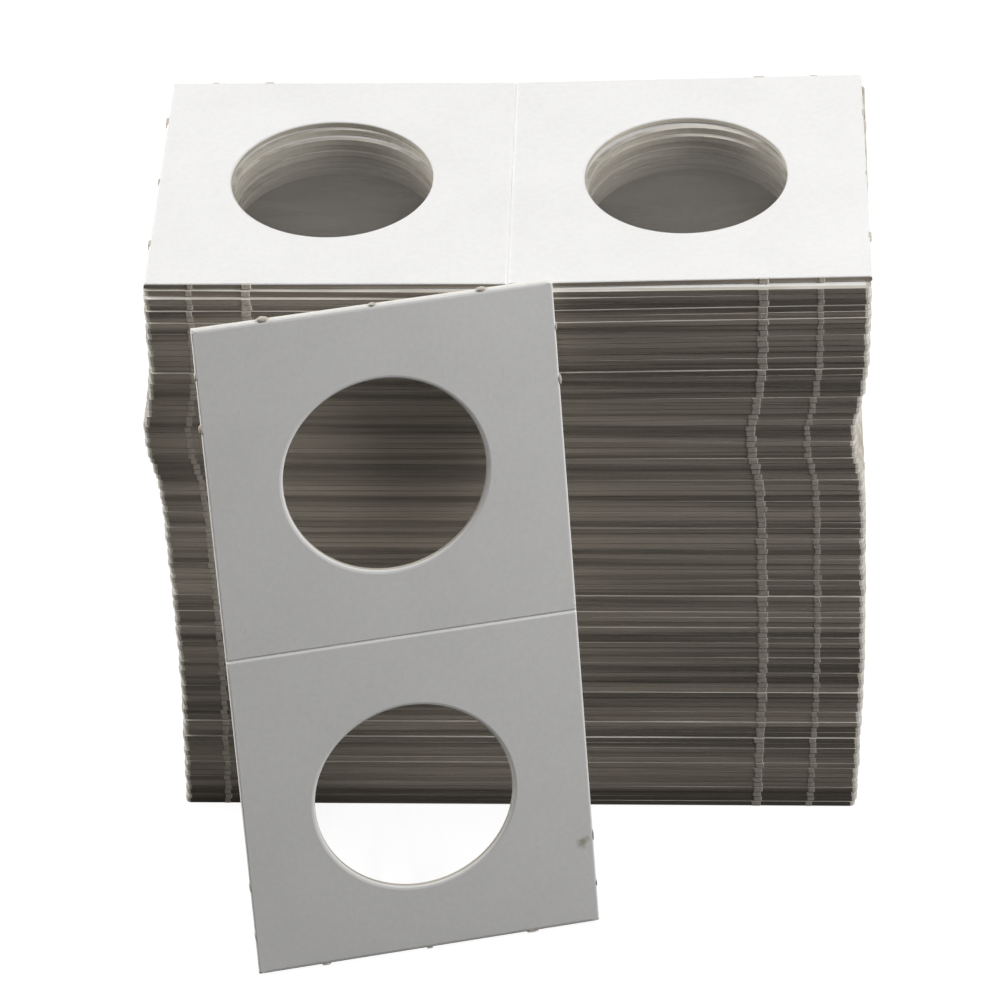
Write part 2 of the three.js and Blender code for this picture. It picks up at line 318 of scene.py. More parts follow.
def loose_card_place(card, stack, index):
    """From the frame of a loose card to where it lies in the stack."""
    level = card_level(card, index)
    slip = stack.slip + scatter(index, SIDE_STRIDE) * stack.side_scatter
    slip += swell(stack.bulge, stack.bulge_height, stack.bulge_spread, level)
    slip += swell(stack.dent, stack.dent_height, stack.dent_spread, level)
    seat = index == LOOSE_CARDS - 1
    turn = stack.seat_turn if seat else scatter(index, TURN_STRIDE) * stack.turn_scatter
    place = Matrix.Translation((slip, card_depth(stack, index), level))
    return place @ Matrix.Rotation(turn, 4, "Z")


def loose_card_windows(card, stack, index):
    """The middles of a loose card's windows, in its own frame."""
    seat = index == LOOSE_CARDS - 1
    across = stack.seat_punch if seat else scatter(index, PUNCH_STRIDE) * card.punch_scatter
    return [(-card.length / 4, across), (card.length / 4, across)]


def fan_slope(card, stack, index):
    """How steeply a loose card rises to the right of its score."""
    climb = card_level(card, index) - stack.fan_low
    return math.tan(stack.top_rise) * ease(climb / (stack.fan_high - stack.fan_low))


def top_card_place(card, stack):
    place = Matrix.Translation((stack.top_x, stack.top_y, card_level(card, LOOSE_CARDS)))
    return place @ Matrix.Rotation(stack.top_turn, 4, "Z")


def leaning_card_place(card, stack, leaning):
    """From the leaning card's frame to where it stands on its foot and leans on its seat."""
    foot = Vector((leaning.foot_left, -card.width / 2 - leaning.foot_distance, 0.0))
    seat_height = card_level(card, LOOSE_CARDS - 1) + card.board + card.film
    seat_front = -card.width / 2 - stack.seat_slip - leaning.clearance
    across = Vector((math.cos(leaning.turn), math.sin(leaning.turn), 0.0))
    inward = Vector((-across.y, across.x, 0.0))
    run = (seat_front - foot.y - card.width * across.y) / across.x
    lean = math.atan2(run, seat_height)
    up = Vector((0.0, 0.0, math.cos(lean))) + inward * math.sin(lean)
    facing = across.cross(up)
    middle = foot + across * card.width / 2 + up * card.length / 2
    turned = Matrix((up, -across, facing)).transposed().to_4x4()
    place = Matrix.Translation(middle) @ turned
    fold = next(j for j in frame["record"]["behaviour"]["joints"] if j["name"] == "leaning_fold")
    miss = (place @ Vector((0.0, 0.0, fold_axis_height(card))) - Vector(fold["pos_m"])).length
    if miss > FOLD_MISS:
        raise RuntimeError(f"the leaning card's fold is {miss:.6f} m off the solids' joint")
    return place


# Boards and films


def bevel(bm, geometry, offset, affect):
    bmesh.ops.bevel(
        bm,
        geom=geometry,
        offset=offset,
        offset_type="OFFSET",
        segments=ROUND_STEPS,
        profile=0.5,
        affect=affect,
        material=-1,
    )


def lay_sheet(bm, left, right, card, level, windows=(), sides=0, corner=0.0):
    """A flat sheet between two places along the card. Its windows are given by their middles."""
    middle = Matrix.Translation(((left + right) / 2, 0.0, level))
    spread = Matrix.Diagonal(((right - left) / 2, card.width / 2, 1.0, 1.0))
    bmesh.ops.create_grid(bm, x_segments=1, y_segments=1, size=1.0, matrix=middle @ spread)
    if corner:
        bevel(bm, bm.verts[:], corner, "VERTICES")
    if not windows:
        return
    bmesh.ops.delete(bm, geom=bm.faces[:], context="FACES_ONLY")
    for x, y in windows:
        place = Matrix.Translation((x, y, level))
        bmesh.ops.create_circle(bm, segments=sides, radius=card.window / 2, matrix=place)
    bmesh.ops.triangle_fill(bm, use_beauty=True, edges=bm.edges[:])


def thicken(bm, thickness):
    """Gives a flat sheet its thickness, upwards."""
    made = bmesh.ops.extrude_face_region(bm, geom=bm.faces[:])
    raised = [v for v in made["geom"] if isinstance(v, bmesh.types.BMVert)]
    bmesh.ops.translate(bm, verts=raised, vec=(0.0, 0.0, thickness))
    bmesh.ops.recalc_face_normals(bm, faces=bm.faces[:])


def dull_worn_and_shaded_rims(bm, card):
    """Sets a dull rim off the upper face, along its outline and round its windows: partly wear, and
    partly painted shade where the cards above shade it.
    """
    upper = [face for face in bm.faces if face.normal.z > 0.5]
    made = bmesh.ops.inset_region(bm, faces=upper, thickness=card.rubbed, use_even_offset=True)
    for face in made["faces"]:
        face.material_index = WORN_AND_SHADED


def cut_across(bm, x):
    bmesh.ops.bisect_plane(
        bm,
        geom=bm.verts[:] + bm.edges[:] + bm.faces[:],
        dist=CUT_TOLERANCE,
        plane_co=(x, 0, 0),
        plane_no=(1, 0, 0),
    )


def press_score(bm, card):
    """Presses the V of the score into the inner face, where the board is already cut across."""
    half = card.score_width / 2
    for vert in bm.verts:
        if vert.co.z > card.board / 2 and abs(vert.co.x) < half:
            vert.co.z -= card.score_depth * (1 - abs(vert.co.x) / half)


def lies_flat(face):
    """Whether a face is part of the board's upper or lower face, and not of a cut edge."""
    return abs(face.normal.z) > 0.5


def round_rims(bm, card, level, radius, long_rims):
    """Rounds the long rims at one level, or else those of the ends and the windows."""
    meeting = card.fold_half * 1.01
    side = card.width / 2 - TINY
    rims = []
    for edge in bm.edges:
        first, second = (vert.co for vert in edge.verts)
        flat = sorted(lies_flat(face) for face in edge.link_faces)
        if flat != [False, True] or max(abs(first.z - level), abs(second.z - level)) > TINY:
            continue
        run = abs(first.x - second.x)
        along_side = min(abs(first.y), abs(second.y)) > side and run > TINY
        if long_rims:
            wanted = along_side and run > card.fold_half
        else:
            wanted = not along_side and max(abs(first.x), abs(second.x)) > meeting
        if wanted:
            rims.append(edge)
    if rims:
        bevel(bm, rims, radius, "EDGES")


def round_edges(bm, card, rounding):
    """Rounds the rims between the faces and the cut edges, but not where two pieces meet."""
    for level, ends, sides in (
        (0.0, card.back_round, card.back_round),
        (card.board, rounding, card.edge_round),
    ):
        round_rims(bm, card, level, ends, False)
        round_rims(bm, card, level, sides, True)


def tell_cut_faces(bm, card, long_edges=CUT):
    """Tells the long cut edges from the ends and from the edges of the windows."""
    for face in bm.faces:
        if lies_flat(face):
            continue
        middle = face.calc_center_median()
        at_side = abs(middle.y) > card.width * NEAR_RIM
        at_end = abs(middle.x) > card.length * NEAR_RIM
        if at_side and abs(face.normal.x) < 0.2:
            face.material_index = long_edges
        else:
            face.material_index = END if at_side or at_end else PUNCHED


def add_nib(bm, card, spot, outward, share, height, flat, chance):
    """A torn nib on a cut edge: a tuft of fibres, or a flat patch where it is rubbed down."""
    half_width = card.nib_width / 2 * share * chance.uniform(0.8, 1.1)
    height *= share * chance.uniform(0.75, 1.0)
    half_board = card.board * (FLAT_NIB if flat else TUFT_NIB)
    shape = (
        Matrix.Translation((spot[0], spot[1], card.board / 2))
        @ Matrix.Rotation(math.atan2(outward[1], outward[0]), 4, "Z")
        @ Matrix.Diagonal((height, half_width, half_board, 1.0))
    )
    if flat:
        made = bmesh.ops.create_cube(bm, size=2.0)
        for vert in made["verts"]:
            narrow = chance.uniform(0.55, 0.8) if vert.co.x > 0 else 1.0
            vert.co = shape @ Vector((vert.co.x, vert.co.y * narrow, vert.co.z))
    else:
        made = bmesh.ops.create_icosphere(bm, subdivisions=2, radius=1.0)
        for vert in made["verts"]:
            vert.co.z = math.copysign(abs(vert.co.z) ** 0.45, vert.co.z)
            ruffle = (chance.uniform(-0.12, 0.12), chance.uniform(-0.12, 0.12), 0.0)
            vert.co = shape @ (vert.co + Vector(ruffle))
    for face in {face for vert in made["verts"] for face in vert.link_faces}:
        face.material_index = TORN
        face.smooth = not flat


def tear_nibs(bm, card, left, right, height, flat, chance):
    """The nibs of the edges between two places along the card."""
    for sign in (-1, 1):
        for along, share in ((card.nib_inner, 1.0), (card.nib_outer, OUTER_NIB)):
            along += card.nib_shift if sign < 0 else 0.0
            if left < sign * along < right:
                for side in (-1, 1):
                    spot = (sign * along, side * card.width / 2)
                    add_nib(bm, card, spot, (0, side), share, height, flat, chance)
    row = ((-card.nib_side, FRONT_NIB), (0.0, MIDDLE_NIB), (card.nib_side, 1.0))
    for end in (left, right):
        if abs(end) > card.length / 4:
            for across, share in row:
                outward = (math.copysign(1, end), 0)
                add_nib(bm, card, (end, across), outward, share, height, flat, chance)


def lay_film(bm, left, right, card, windows, sides, corner=0.0):
    """The film over a card or a panel, slack over each window."""
    level = film_level(card)
    lay_sheet(bm, left, right, card, level, windows, sides, corner)
    radius = card.window / 2
    for x, y in windows:
        place = Matrix.Translation((x, y, level))
        made = bmesh.ops.create_circle(
            bm, cap_ends=True, segments=sides, radius=radius, matrix=place
        )
        disc = made["verts"][0].link_faces[0]
        for _ in range(SLACK_RINGS):
            bmesh.ops.inset_region(bm, faces=[disc], thickness=radius / (SLACK_RINGS + 2))
    bmesh.ops.remove_doubles(bm, verts=bm.verts[:], dist=TINY)
    for face in bm.faces:
        middle = face.calc_center_median()
        inside = any(math.hypot(middle.x - x, middle.y - y) < radius * 0.999 for x, y in windows)
        face.material_index = SLACK if inside else BONDED
        face.smooth = inside
    for vert in bm.verts:
        for x, y in windows:
            away = math.hypot(vert.co.x - x, vert.co.y - y) / radius
            if away < 1:
                vert.co.z -= card.slack * (1 - away * away)
    bmesh.ops.recalc_face_normals(bm, faces=bm.faces[:])


def fan_out(bm, card, stack, index):
    """Raises a loose card, or its film, to the right of its score."""
    slope = fan_slope(card, stack, index)
    for vert in bm.verts:
        vert.co.z += slope * max(0.0, vert.co.x)


def make_piece(name, bm, place, finishes):
    """Settles a mesh where it belongs and makes it a piece."""
    bmesh.ops.transform(bm, matrix=place, verts=bm.verts[:])
    mesh = bpy.data.meshes.new(name)
    bm.to_mesh(mesh)
    bm.free()
    for finish in finishes:
        mesh.materials.append(finish)
    piece = bpy.data.objects.new(name, mesh)
    bpy.context.scene.collection.objects.link(piece)
    return piece


def hand_over(piece, body, slot, *nodes):
    """Lets a piece ride on its body, unless it bends between two, and stand for its solids."""
    if body:
        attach(piece, body)
    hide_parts(*nodes)


def loose_card_node(index):
    """The node whose solid holds a loose card."""
    if index < PAIRED_CARDS:
        return f"card_pair_{index // 2 + 1:02d}"
    return f"card_{index + 1:02d}"


# Finishes

# How fine the patterns are, as scales of their noise in each metre. Those with three scales are
# stretched: along a card, across it and through it.
CLOUDS, GRAIN, FUZZ, TANGLE, RIPPLES, STAIN_GRAIN = 70.0, 1500.0, 2600.0, 5200.0, 120.0, 1800.0
FIBRES = (500.0, 2600.0, 2600.0)
LAYERS = (70.0, 70.0, 7000.0)
BANDS = (6.0, 6.0, 520.0)
PATCHES = (45.0, 300.0, 300.0)
SMEARS = (60.0, 240.0, 60.0)

# Heights between which the stack's cut edges grow paler, darken again, and lose the painted shade
# near the floor.
PALER, DARKER, FLOOR_SHADE_FADE = (0.03, 0.05), (0.068, 0.084), (0.0005, 0.005)

HIGHLIT_RIM_REACH = 0.0006  # width of the pale rim of the leaning card's face, a painted highlight where its rounded rims catch the lamps
STAIN_TURN, STAIN_WIDTH = -0.7, 0.7  # the stain's slant in radians, and its width in lengths


class Wire:
    """One socket in a material's node tree, which takes part in plain expressions."""

    def __init__(self, tree, socket=None):
        self.tree = tree
        self.socket = socket

    def node(self, kind, settings=None, sockets=None, output=0):
        """Adds a node. Its settings go in first, and then the values or wires of its sockets."""
        made = self.tree.nodes.new(kind)
        for name, value in (settings or {}).items():
            setattr(made, name, value)
        for name, value in (sockets or {}).items():
            if isinstance(value, Wire):
                self.tree.links.new(value.socket, made.inputs[name])
            else:
                made.inputs[name].default_value = value
        return Wire(self.tree, made.outputs[output])

    def math(self, operation, *values):
        return self.node("ShaderNodeMath", {"operation": operation}, dict(enumerate(values)))

    def __add__(self, other):
        return self.math("ADD", self, other)

    def __radd__(self, other):
        return self.math("ADD", other, self)

    def __sub__(self, other):
        return self.math("SUBTRACT", self, other)

    def __rsub__(self, other):
        return self.math("SUBTRACT", other, self)

    def __mul__(self, other):
        return self.math("MULTIPLY", self, other)

    def __rmul__(self, other):
        return self.math("MULTIPLY", other, self)

    def between(self, low, high):
        """0 below low, 1 above high, and a smooth step in between."""
        settings = {"interpolation_type": "SMOOTHSTEP"}
        return self.node("ShaderNodeMapRange", settings, {0: self, 1: low, 2: high})

    def axis(self, name):
        """One axis of a position."""
        return self.node("ShaderNodeSeparateXYZ", None, {0: self}, name)

    def spread(self, x, y, z):
        """A position, stretched along each axis."""
        return self.node("ShaderNodeVectorMath", {"operation": "MULTIPLY"}, {0: self, 1: (x, y, z)})

    def noise(self, scale, detail=2.0):
        sockets = {"Vector": self, "Scale": scale, "Detail": detail}
        return self.node("ShaderNodeTexNoise", None, sockets, "Fac")

    def mix(self, first, second):
        """A colour between two, with this as its share of the second."""
        colours = [c if isinstance(c, Wire) else (*c, 1.0) for c in (first, second)]
        sockets = {0: self, 6: colours[0], 7: colours[1]}
        return self.node("ShaderNodeMix", {"data_type": "RGBA"}, sockets, 2)


def new_finish(name, place):
    """A material, its first wire, and the position in a card's own frame."""
    finish = bpy.data.materials.new(name)
    finish.use_nodes = True
    finish.node_tree.nodes.clear()
    start = Wire(finish.node_tree)
    here = start.node("ShaderNodeTexCoord", output="Object")
    sockets = {"Vector": here, "Location": place.translation, "Rotation": place.to_euler()}
    here = start.node("ShaderNodeMapping", {"vector_type": "TEXTURE"}, sockets)
    return finish, start, here


def close_finish(start, shader):
    output = start.tree.nodes.new("ShaderNodeOutputMaterial")
    start.tree.links.new(shader.socket, output.inputs["Surface"])


def close_coat(start, sockets, height, depth, strength=1.0):
    """Closes a finish with one shader, whose surface is bumped by a height."""
    relief = {"Height": height, "Distance": depth, "Strength": strength}
    sockets["Normal"] = start.node("ShaderNodeBump", None, relief, "Normal")
    close_finish(start, start.node("ShaderNodeBsdfPrincipled", None, sockets))


def rim_share(here, card, reach):
    """1 on the outer rim of a card's face, and 0 further in than reach."""
    along, across = here.axis("X"), here.axis("Y")
    from_end = along.math("ABSOLUTE", along) - card.length / 2
    from_side = across.math("ABSOLUTE", across) - card.width / 2
    return from_end.math("MAXIMUM", from_end, from_side).between(-reach, -reach * 0.2)


def stained(here, tone, stain, brown):
    """A tone with a ragged brown speck on it, given by its place and its half length."""
    *place, size = stain
    sockets = {"Vector": here, "Location": place, "Rotation": (0.0, 0.0, STAIN_TURN)}
    sockets["Scale"] = (size, size * STAIN_WIDTH, 1.0)
    offset = here.node("ShaderNodeMapping", {"vector_type": "TEXTURE"}, sockets)
    away = offset.node("ShaderNodeVectorMath", {"operation": "LENGTH"}, {0: offset}, "Value")
    ragged = away + (here.noise(STAIN_GRAIN) - 0.5) * 1.3
    return ((1 - ragged.between(0.1, 1.2)) * 0.8).mix(tone, brown)


def face_finish(name, place, card, colours, tones, fresh_and_highlit, stain):
    """The coated white face: soft clouds, a fine grain and a few short fibres."""
    finish, start, here = new_finish(name, place)
    clouds = here.noise(CLOUDS, 3.0).between(0.35, 0.75)
    grain = here.noise(GRAIN, 3.0)
    fibres = here.spread(*FIBRES).noise(1.0).between(0.6, 0.75)
    tone = (clouds * 0.4 + grain.between(0.3, 0.7) * 0.45 + fibres * 0.15).mix(*tones)
    if fresh_and_highlit:
        # Painted highlight: a pale rim round the leaning card's face, where its rounded rims catch
        # the lamps.
        tone = (rim_share(here, card, HIGHLIT_RIM_REACH) * 0.7).mix(tone, colours.highlit_rim)
    if stain:
        tone = stained(here, tone, stain, colours.stain)
    sockets = {"Base Color": tone, "Roughness": 0.78 + grain * 0.14, "Specular IOR Level": 0.3}
    close_coat(start, sockets, grain * 0.6 + fibres * 0.4, depth=0.000012)
    return finish


def cut_finish(name, place, light, dark, floor_shade=None):
    """A cut edge of the board: its layers show as fine lines, darker in some cards.

    Given a shade colour it is the stack's: paler half way up, and darkened near the floor by
    painted shade.
    """
    finish, start, here = new_finish(name, place)
    layers = here.spread(*LAYERS).noise(1.0).between(0.3, 0.7)
    bands = here.spread(*BANDS).noise(1.0).between(0.36, 0.64)
    fuzz = here.noise(FUZZ)
    share = layers * 0.22 + bands * 0.62 + fuzz * 0.16
    if floor_shade:
        level = here.axis("Z")
        paler = level.between(*PALER) * (1 - level.between(*DARKER))
        tone = (share + paler * 0.14 - 0.03).mix(dark, light)
        # Painted shade: the cut edges darken towards the floor.
        tone = ((1 - level.between(*FLOOR_SHADE_FADE)) * 0.75).mix(tone, floor_shade)
    else:
        tone = share.mix(dark, light)
    sockets = {"Base Color": tone, "Roughness": 0.9, "Specular IOR Level": 0.2}
    close_coat(start, sockets, layers * 0.6 + fuzz * 0.5, depth=0.00003)
    return finish


def worn_and_shaded_finish(name, place, colours):
    """The dull rim of a loose card's face, in patches: partly wear, and partly painted shade where
    the cards above shade it.
    """
    finish, start, here = new_finish(name, place)
    patches = here.spread(*PATCHES).noise(1.0, 3.0).between(0.35, 0.65)
    grain = here.noise(GRAIN, 3.0)
    tone = (patches * 0.8 + grain * 0.2).mix(colours.worn_and_shaded_dark, colours.worn_and_shaded_light)
    sockets = {"Base Color": tone, "Roughness": 0.85, "Specular IOR Level": 0.2}
    close_coat(start, sockets, grain, depth=0.00002)
    return finish


def torn_finish(name, place, colours):
    """Loose white fibres of a torn nib."""
    finish, start, here = new_finish(name, place)
    tangle = here.noise(TANGLE, 3.0)
    tone = tangle.between(0.3, 0.7).mix(colours.cut_light, colours.torn)
    sockets = {"Base Color": tone, "Roughness": 0.95, "Specular IOR Level": 0.1}
    close_coat(start, sockets, tangle, depth=0.00006)
    return finish


def film_finish(name, place, colours, cover, smears):
    """A clear film: it hides little of what is under it, more where it is smeared."""
    finish, start, here = new_finish(name, place)
    smear = here.spread(*SMEARS).noise(1.0, 4.0).between(0.48, 0.8)
    sockets = {
        "Base Color": (*colours.film, 1.0),
        "Roughness": 0.25 + smear * 0.25,
        "Specular IOR Level": 0.5,
        "IOR": 1.5,
        "Alpha": cover + smear * smears,
    }
    close_coat(start, sockets, here.noise(RIPPLES), depth=0.0002, strength=0.3)
    return finish


def board_finishes(kind, place, card, colours, fresh_and_highlit=False, stain=None):
    """The finishes of a board, in the order of FACE, CUT and so on. Each is made once."""
    # The last finish, the rubbed rim, is partly wear and partly painted shade from the cards above.
    parts = ("card face", "cut edge", "cut end", "window edge", "torn fibres", "rubbed rim")
    stacked = kind == "Stacked"
    names = [f"{kind} {part}" for part in (parts if stacked else parts[:WORN_AND_SHADED])]
    if names[FACE] not in bpy.data.materials:
        # The loose cards take a darker copy of the face, as painted shade.
        tones = (colours.loose, colours.shaded_loose_cloud) if stacked else (colours.white, colours.cloud)
        # The stack's cut edges get painted shade near the floor.
        floor_shade = colours.floor_shade if stacked else None
        end = (colours.end_light, colours.end_dark)
        # The leaning card's pale edge colours are partly painted highlight.
        if fresh_and_highlit:
            end = (colours.highlit_edge_light, colours.highlit_edge_dark)
        face_finish(names[FACE], place, card, colours, tones, fresh_and_highlit, stain)
        cut_finish(names[CUT], place, colours.cut_light, colours.cut_dark, floor_shade)
        cut_finish(names[END], place, *end)
        cut_finish(names[PUNCHED], place, colours.punched_light, colours.punched_dark)
        torn_finish(names[TORN], place, colours)
        if stacked:
            worn_and_shaded_finish(names[WORN_AND_SHADED], place, colours)
    return [bpy.data.materials[name] for name in names]


def film_finishes(kind, place, colours, cover):
    """The finishes of a film, in the order of BONDED and SLACK. Each is made once."""
    names = [f"{kind} bonded film", f"{kind} slack film"]
    if names[BONDED] not in bpy.data.materials:
        film_finish(names[BONDED], place, colours, colours.bonded_share, 0.0)
        film_finish(names[SLACK], place, colours, cover, cover * (1 - cover))
    return [bpy.data.materials[name] for name in names]


# Operators


class COINHOLDER_OT_loose_boards(bpy.types.Operator):
    """Makes the boards of the loose cards, one piece for each card"""

    bl_idname = "coin_holder.loose_boards"
    bl_label = "Loose boards"

    def execute(self, context):
        pack = context.scene.coin_holder_pack
        card, stack = pack.card, pack.stack
        finishes = board_finishes("Stacked", Matrix.Identity(4), card, pack.colours)
        half = card.length / 2
        for index in range(LOOSE_CARDS):
            fine = index >= LOOSE_CARDS - FINE_CARDS
            bm = bmesh.new()
            sides = FINE_SIDES if fine else COARSE_SIDES
            windows = loose_card_windows(card, stack, index)
            lay_sheet(bm, -half, half, card, 0.0, windows, sides, card.corner_round)
            thicken(bm, card.board)
            # A dull rim: partly wear, partly painted shade from the cards above.
            dull_worn_and_shaded_rims(bm, card)
            for x in (-card.score_width / 2, 0.0, card.score_width / 2):
                cut_across(bm, x)
            press_score(bm, card)
            tell_cut_faces(bm, card)
            tear_nibs(bm, card, -half, half, card.worn_nib, True, random.Random(index))
            fan_out(bm, card, stack, index)
            name = f"card_{index + 1:02d}_board"
            piece = make_piece(name, bm, loose_card_place(card, stack, index), finishes)
            hand_over(piece, "stack", "stacked_board", loose_card_node(index))
        return {"FINISHED"}


class COINHOLDER_OT_loose_films(bpy.types.Operator):
    """Makes the films of the loose cards: three that show, and the rest as one piece"""

    bl_idname = "coin_holder.loose_films"
    bl_label = "Loose films"

    def execute(self, context):
        pack = context.scene.coin_holder_pack
        card, stack, colours = pack.card, pack.stack, pack.colours
        level = Matrix.Identity(4)
        half = card.length / 2
        above = LOOSE_CARDS
        for index, films in GATHERED_FILMS.items():
            cover = 1 - (1 - colours.film_share) ** films
            bm = bmesh.new()
            windows = loose_card_windows(card, stack, index)
            lay_film(bm, -half, half, card, windows, FINE_SIDES, card.corner_round)
            cut_across(bm, 0.0)
            fan_out(bm, card, stack, index)
            finishes = film_finishes(f"Card {index + 1}", level, colours, cover)
            place = loose_card_place(card, stack, index)
            piece = make_piece(f"card_{index + 1:02d}_film", bm, place, finishes)
            nodes = {loose_card_node(covered) for covered in range(index, above)}
            hand_over(piece, "stack", "film", *sorted(nodes))
            above = index
        hidden = bmesh.new()
        spread = Matrix.Diagonal((half, card.width / 2, 1.0, 1.0))
        lifted = Matrix.Translation((0.0, 0.0, film_level(card)))
        for index in range(above):
            place = loose_card_place(card, stack, index) @ lifted @ spread
            made = bmesh.ops.create_grid(hidden, x_segments=2, y_segments=1, size=1.0, matrix=place)
            rise = fan_slope(card, stack, index) * half
            for vert in made["verts"]:
                vert.co.z += rise if vert.co.x > half / 2 else 0.0
        finishes = film_finishes("Lower", level, colours, colours.film_share)
        piece = make_piece("lower_films", hidden, level, finishes[:1])
        nodes = {loose_card_node(index) for index in range(above)}
        hand_over(piece, "stack", "film", *sorted(nodes))
        return {"FINISHED"}


class CardLook(NamedTuple):
    """How a folding card differs from the other."""

    punch: tuple  # how far its windows are off their middles
    cover: float  # how much its slack film hides
    rounding: float  # of its upper rims, at the ends and the windows
    nibs: tuple  # how far the nibs of its two panels stand out
    fresh_and_highlit: bool = False  # out of the stack, with tufts for nibs, pale edges that are partly painted highlight, and a painted highlight round its face
    stain: tuple = None  # the place and the half length of a brown speck


def make_folding_card(kind, names, place, rise, pack, look):
    """A card in two panels with its films, and the bent strip of board along its score."""
    card, colours = pack.card, pack.colours
    boards = board_finishes(kind, place, card, colours, look.fresh_and_highlit, look.stain)
    films = film_finishes(kind, place, colours, look.cover)
    bodies = [f"{name}_panel" for name in names]
    long_edges = END if look.fresh_and_highlit else CUT
    half = card.length / 2
    axis = Matrix.Translation((0.0, 0.0, fold_axis_height(card)))

    def bent(share):
        """The turn about the fold's axis at a share of the way across the score."""
        return axis @ Matrix.Rotation(-rise * share, 4, "Y") @ axis.inverted()

    spans = ((-half, -card.fold_half), (card.fold_half, half))
    panels = zip(names, bodies, spans, look.nibs, (0.0, 1.0))
    for name, body, (left, right), nib, turned in panels:
        middle = math.copysign(card.length / 4, left + right)
        window = [(middle + look.punch[0], look.punch[1])]
        bm = bmesh.new()
        lay_sheet(bm, left, right, card, 0.0, window, MAIN_SIDES)
        thicken(bm, card.board)
        round_edges(bm, card, look.rounding)
        tell_cut_faces(bm, card, long_edges)
        tear_nibs(bm, card, left, right, nib, not look.fresh_and_highlit, random.Random(name))
        piece = make_piece(f"{name}_card_board", bm, place @ bent(turned), boards)
        hand_over(piece, body, "board", f"{name}_board")
        bm = bmesh.new()
        lay_film(bm, left, right, card, window, MAIN_SIDES)
        piece = make_piece(f"{name}_card_film", bm, place @ bent(turned), films)
        hand_over(piece, body, "film", f"{name}_film")

    bm = bmesh.new()
    lay_sheet(bm, -card.fold_half, card.fold_half, card, 0.0)
    thicken(bm, card.board)
    round_edges(bm, card, look.rounding)
    for step in range(1, FOLD_STEPS):
        cut_across(bm, card.fold_half * (2 * step / FOLD_STEPS - 1))
    press_score(bm, card)
    tell_cut_faces(bm, card, long_edges)
    for vert in bm.verts:
        share = ease((vert.co.x / card.fold_half + 1) / 2)
        vert.co = bent(share) @ vert.co
    piece = make_piece(f"{kind.lower()}_card_score", bm, place, boards)
    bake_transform(piece)
    hand_over(piece, None, "board", *(f"{name}_board" for name in names))


class COINHOLDER_OT_top_card(bpy.types.Operator):
    """Makes the top card, whose right panel springs up a little"""

    bl_idname = "coin_holder.top_card"
    bl_label = "Top card"

    def execute(self, context):
        pack = context.scene.coin_holder_pack
        card, stack = pack.card, pack.stack
        look = CardLook(
            punch=(stack.top_punch_x, stack.top_punch_y),
            cover=pack.colours.film_share,
            rounding=card.edge_round,
            nibs=(card.top_nib, card.top_nib),
        )
        names = ("top_left", "top_right")
        make_folding_card("Top", names, top_card_place(card, stack), stack.top_rise, pack, look)
        return {"FINISHED"}


class COINHOLDER_OT_leaning_card(bpy.types.Operator):
    """Makes the card that leans on the stack"""

    bl_idname = "coin_holder.leaning_card"
    bl_label = "Leaning card"

    def execute(self, context):
        pack = context.scene.coin_holder_pack
        card, leaning = pack.card, pack.leaning
        look = CardLook(
            punch=(leaning.punch_x, leaning.punch_y),
            cover=pack.colours.clear_share,
            rounding=card.worn_round,
            nibs=(card.low_nib, card.nib_height),
            fresh_and_highlit=True,
            stain=(leaning.stain_low, leaning.stain_side, card.board, leaning.stain_size),
        )
        names = ("leaning_lower", "leaning_upper")
        place = leaning_card_place(card, pack.stack, leaning)
        make_folding_card("Leaning", names, place, 0.0, pack, look)
        return {"FINISHED"}


# The stage

FLOOR_REACH = 4.0  # half the side of the floor
FLOOR_DROP = 0.0002  # how far it lies under the pack, so that the two never share a plane


class COINHOLDER_OT_stage(bpy.types.Operator):
    """Makes the floor, the light and the camera"""

    bl_idname = "coin_holder.stage"
    bl_label = "Stage"

    def execute(self, context):
        stage = context.scene.coin_holder_pack.stage
        lay_floor(stage)
        fill_sky(context.scene, stage)
        hang_lamp("left_lamp", stage.left_lamp, stage)
        hang_lamp("right_lamp", stage.right_lamp, stage)
        set_camera(context.scene, stage)
        context.scene.view_settings.view_transform = "Standard"
        return {"FINISHED"}


def seen_plainly(start):
    """1 for what the camera sees, straight, mirrored or through a film, and 0 for stray light."""
    camera = start.node("ShaderNodeLightPath", output="Is Camera Ray")
    mirrored = start.node("ShaderNodeLightPath", output="Is Glossy Ray")
    through = start.node("ShaderNodeLightPath", output="Is Transmission Ray")
    return camera.math("MAXIMUM", camera.math("MAXIMUM", camera, mirrored), through)


def lay_floor(stage):
    bm = bmesh.new()
    bmesh.ops.create_grid(bm, x_segments=1, y_segments=1, size=FLOOR_REACH)
    place = Matrix.Translation((0.0, 0.0, -FLOOR_DROP))
    finish, start, _ = new_finish("Pale floor", Matrix.Identity(4))
    lit = start.node("ShaderNodeBsdfDiffuse", None, {"Color": (0.9, 0.9, 0.9, 1.0)})
    glow = {"Color": (1.0, 1.0, 1.0, 1.0), "Strength": stage.white}
    white = start.node("ShaderNodeEmission", None, glow)
    shown = start.node("ShaderNodeMixShader", None, {0: stage.shadow, 1: white, 2: lit})
    dim = start.node("ShaderNodeBsdfDiffuse", None, {"Color": (*stage.floor, 1.0)})
    mixed = start.node("ShaderNodeMixShader", None, {0: seen_plainly(start), 1: dim, 2: shown})
    close_finish(start, mixed)
    make_piece("floor", bm, place, [finish])


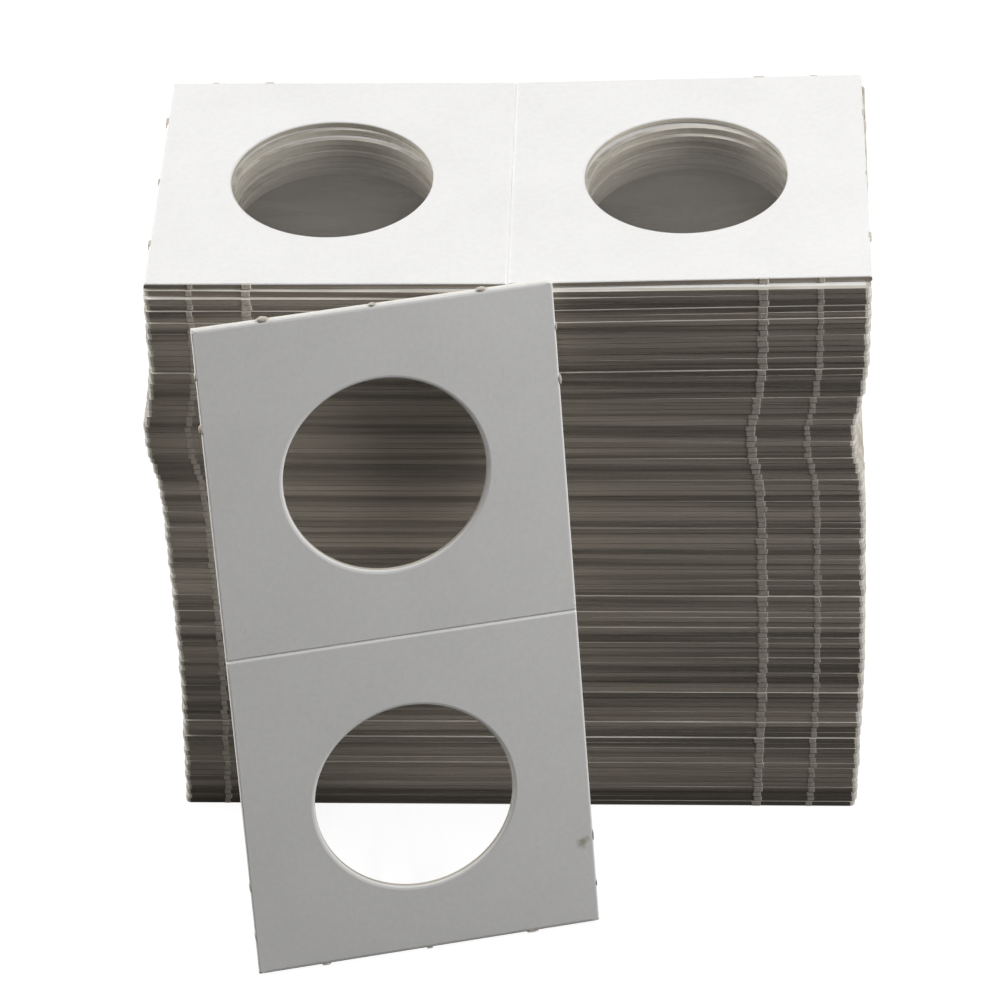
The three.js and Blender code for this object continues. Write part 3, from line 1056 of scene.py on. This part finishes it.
def fill_sky(scene, stage):
    world = bpy.data.worlds.new("Even light")
    world.use_nodes = True
    world.node_tree.nodes.clear()
    start = Wire(world.node_tree)
    plain = seen_plainly(start)
    strength = plain + (1 - plain) * stage.sky
    sky = start.node("ShaderNodeBackground", None, {"Strength": strength})
    output = world.node_tree.nodes.new("ShaderNodeOutputWorld")
    world.node_tree.links.new(sky.socket, output.inputs["Surface"])
    scene.world = world


def hang_lamp(name, spot, stage):
    lamp = bpy.data.lights.new(name, "AREA")
    lamp.energy = stage.lamps
    lamp.size = stage.lamp_size
    hung = bpy.data.objects.new(name, lamp)
    back = Vector(spot) - Vector(stage.lamp_aim)
    turned = back.to_track_quat("Z", "Y").to_matrix().to_4x4()
    hung.matrix_world = Matrix.Translation(spot) @ turned
    bpy.context.scene.collection.objects.link(hung)


def set_camera(scene, stage):
    turn, height, roll = stage.camera_turn, stage.camera_height, stage.camera_roll
    back = Vector(
        (math.sin(turn) * math.cos(height), -math.cos(turn) * math.cos(height), math.sin(height))
    )
    aim = Vector((stage.aim_x, 0.0, stage.aim_z))
    lens = bpy.data.cameras.new("camera")
    lens.lens = stage.camera_lens
    lens.sensor_width = 36.0
    lens.clip_start, lens.clip_end = 0.01, 20.0
    camera = bpy.data.objects.new("camera", lens)
    level = back.to_track_quat("Z", "Y").to_matrix().to_4x4()
    tilt = Matrix.Rotation(roll, 4, "Z")
    camera.matrix_world = Matrix.Translation(aim + back * stage.camera_reach) @ level @ tilt
    scene.collection.objects.link(camera)
    scene.camera = camera


class COINHOLDER_PT_pack(bpy.types.Panel):
    """Lists the steps that make the pack"""

    bl_idname = "COINHOLDER_PT_pack"
    bl_label = "Coin holder pack"
    bl_space_type = "VIEW_3D"
    bl_region_type = "UI"
    bl_category = "Coin holders"

    def draw(self, context):
        for step in STEPS:
            self.layout.operator(step.bl_idname)
        for part in ("card", "stack", "leaning", "colours", "stage"):
            group = getattr(context.scene.coin_holder_pack, part)
            box = self.layout.box()
            for name in group.__annotations__:
                box.prop(group, name)


STEPS = (
    COINHOLDER_OT_stage,
    COINHOLDER_OT_loose_boards,
    COINHOLDER_OT_loose_films,
    COINHOLDER_OT_top_card,
    COINHOLDER_OT_leaning_card,
)
GROUPS = (CardSizes, StackLayout, LeaningPlace, BoardColours, StageSettings, CoinHolderPack)


def register():
    for made in (*GROUPS, *STEPS, COINHOLDER_PT_pack):
        bpy.utils.register_class(made)
    bpy.types.Scene.coin_holder_pack = PointerProperty(type=CoinHolderPack)


def unregister():
    del bpy.types.Scene.coin_holder_pack
    for made in (COINHOLDER_PT_pack, *reversed(STEPS), *reversed(GROUPS)):
        bpy.utils.unregister_class(made)


def main():
    register()
    for step in STEPS:
        group, name = step.bl_idname.split(".")
        getattr(getattr(bpy.ops, group), name)()


if __name__ == "__main__":
    main()
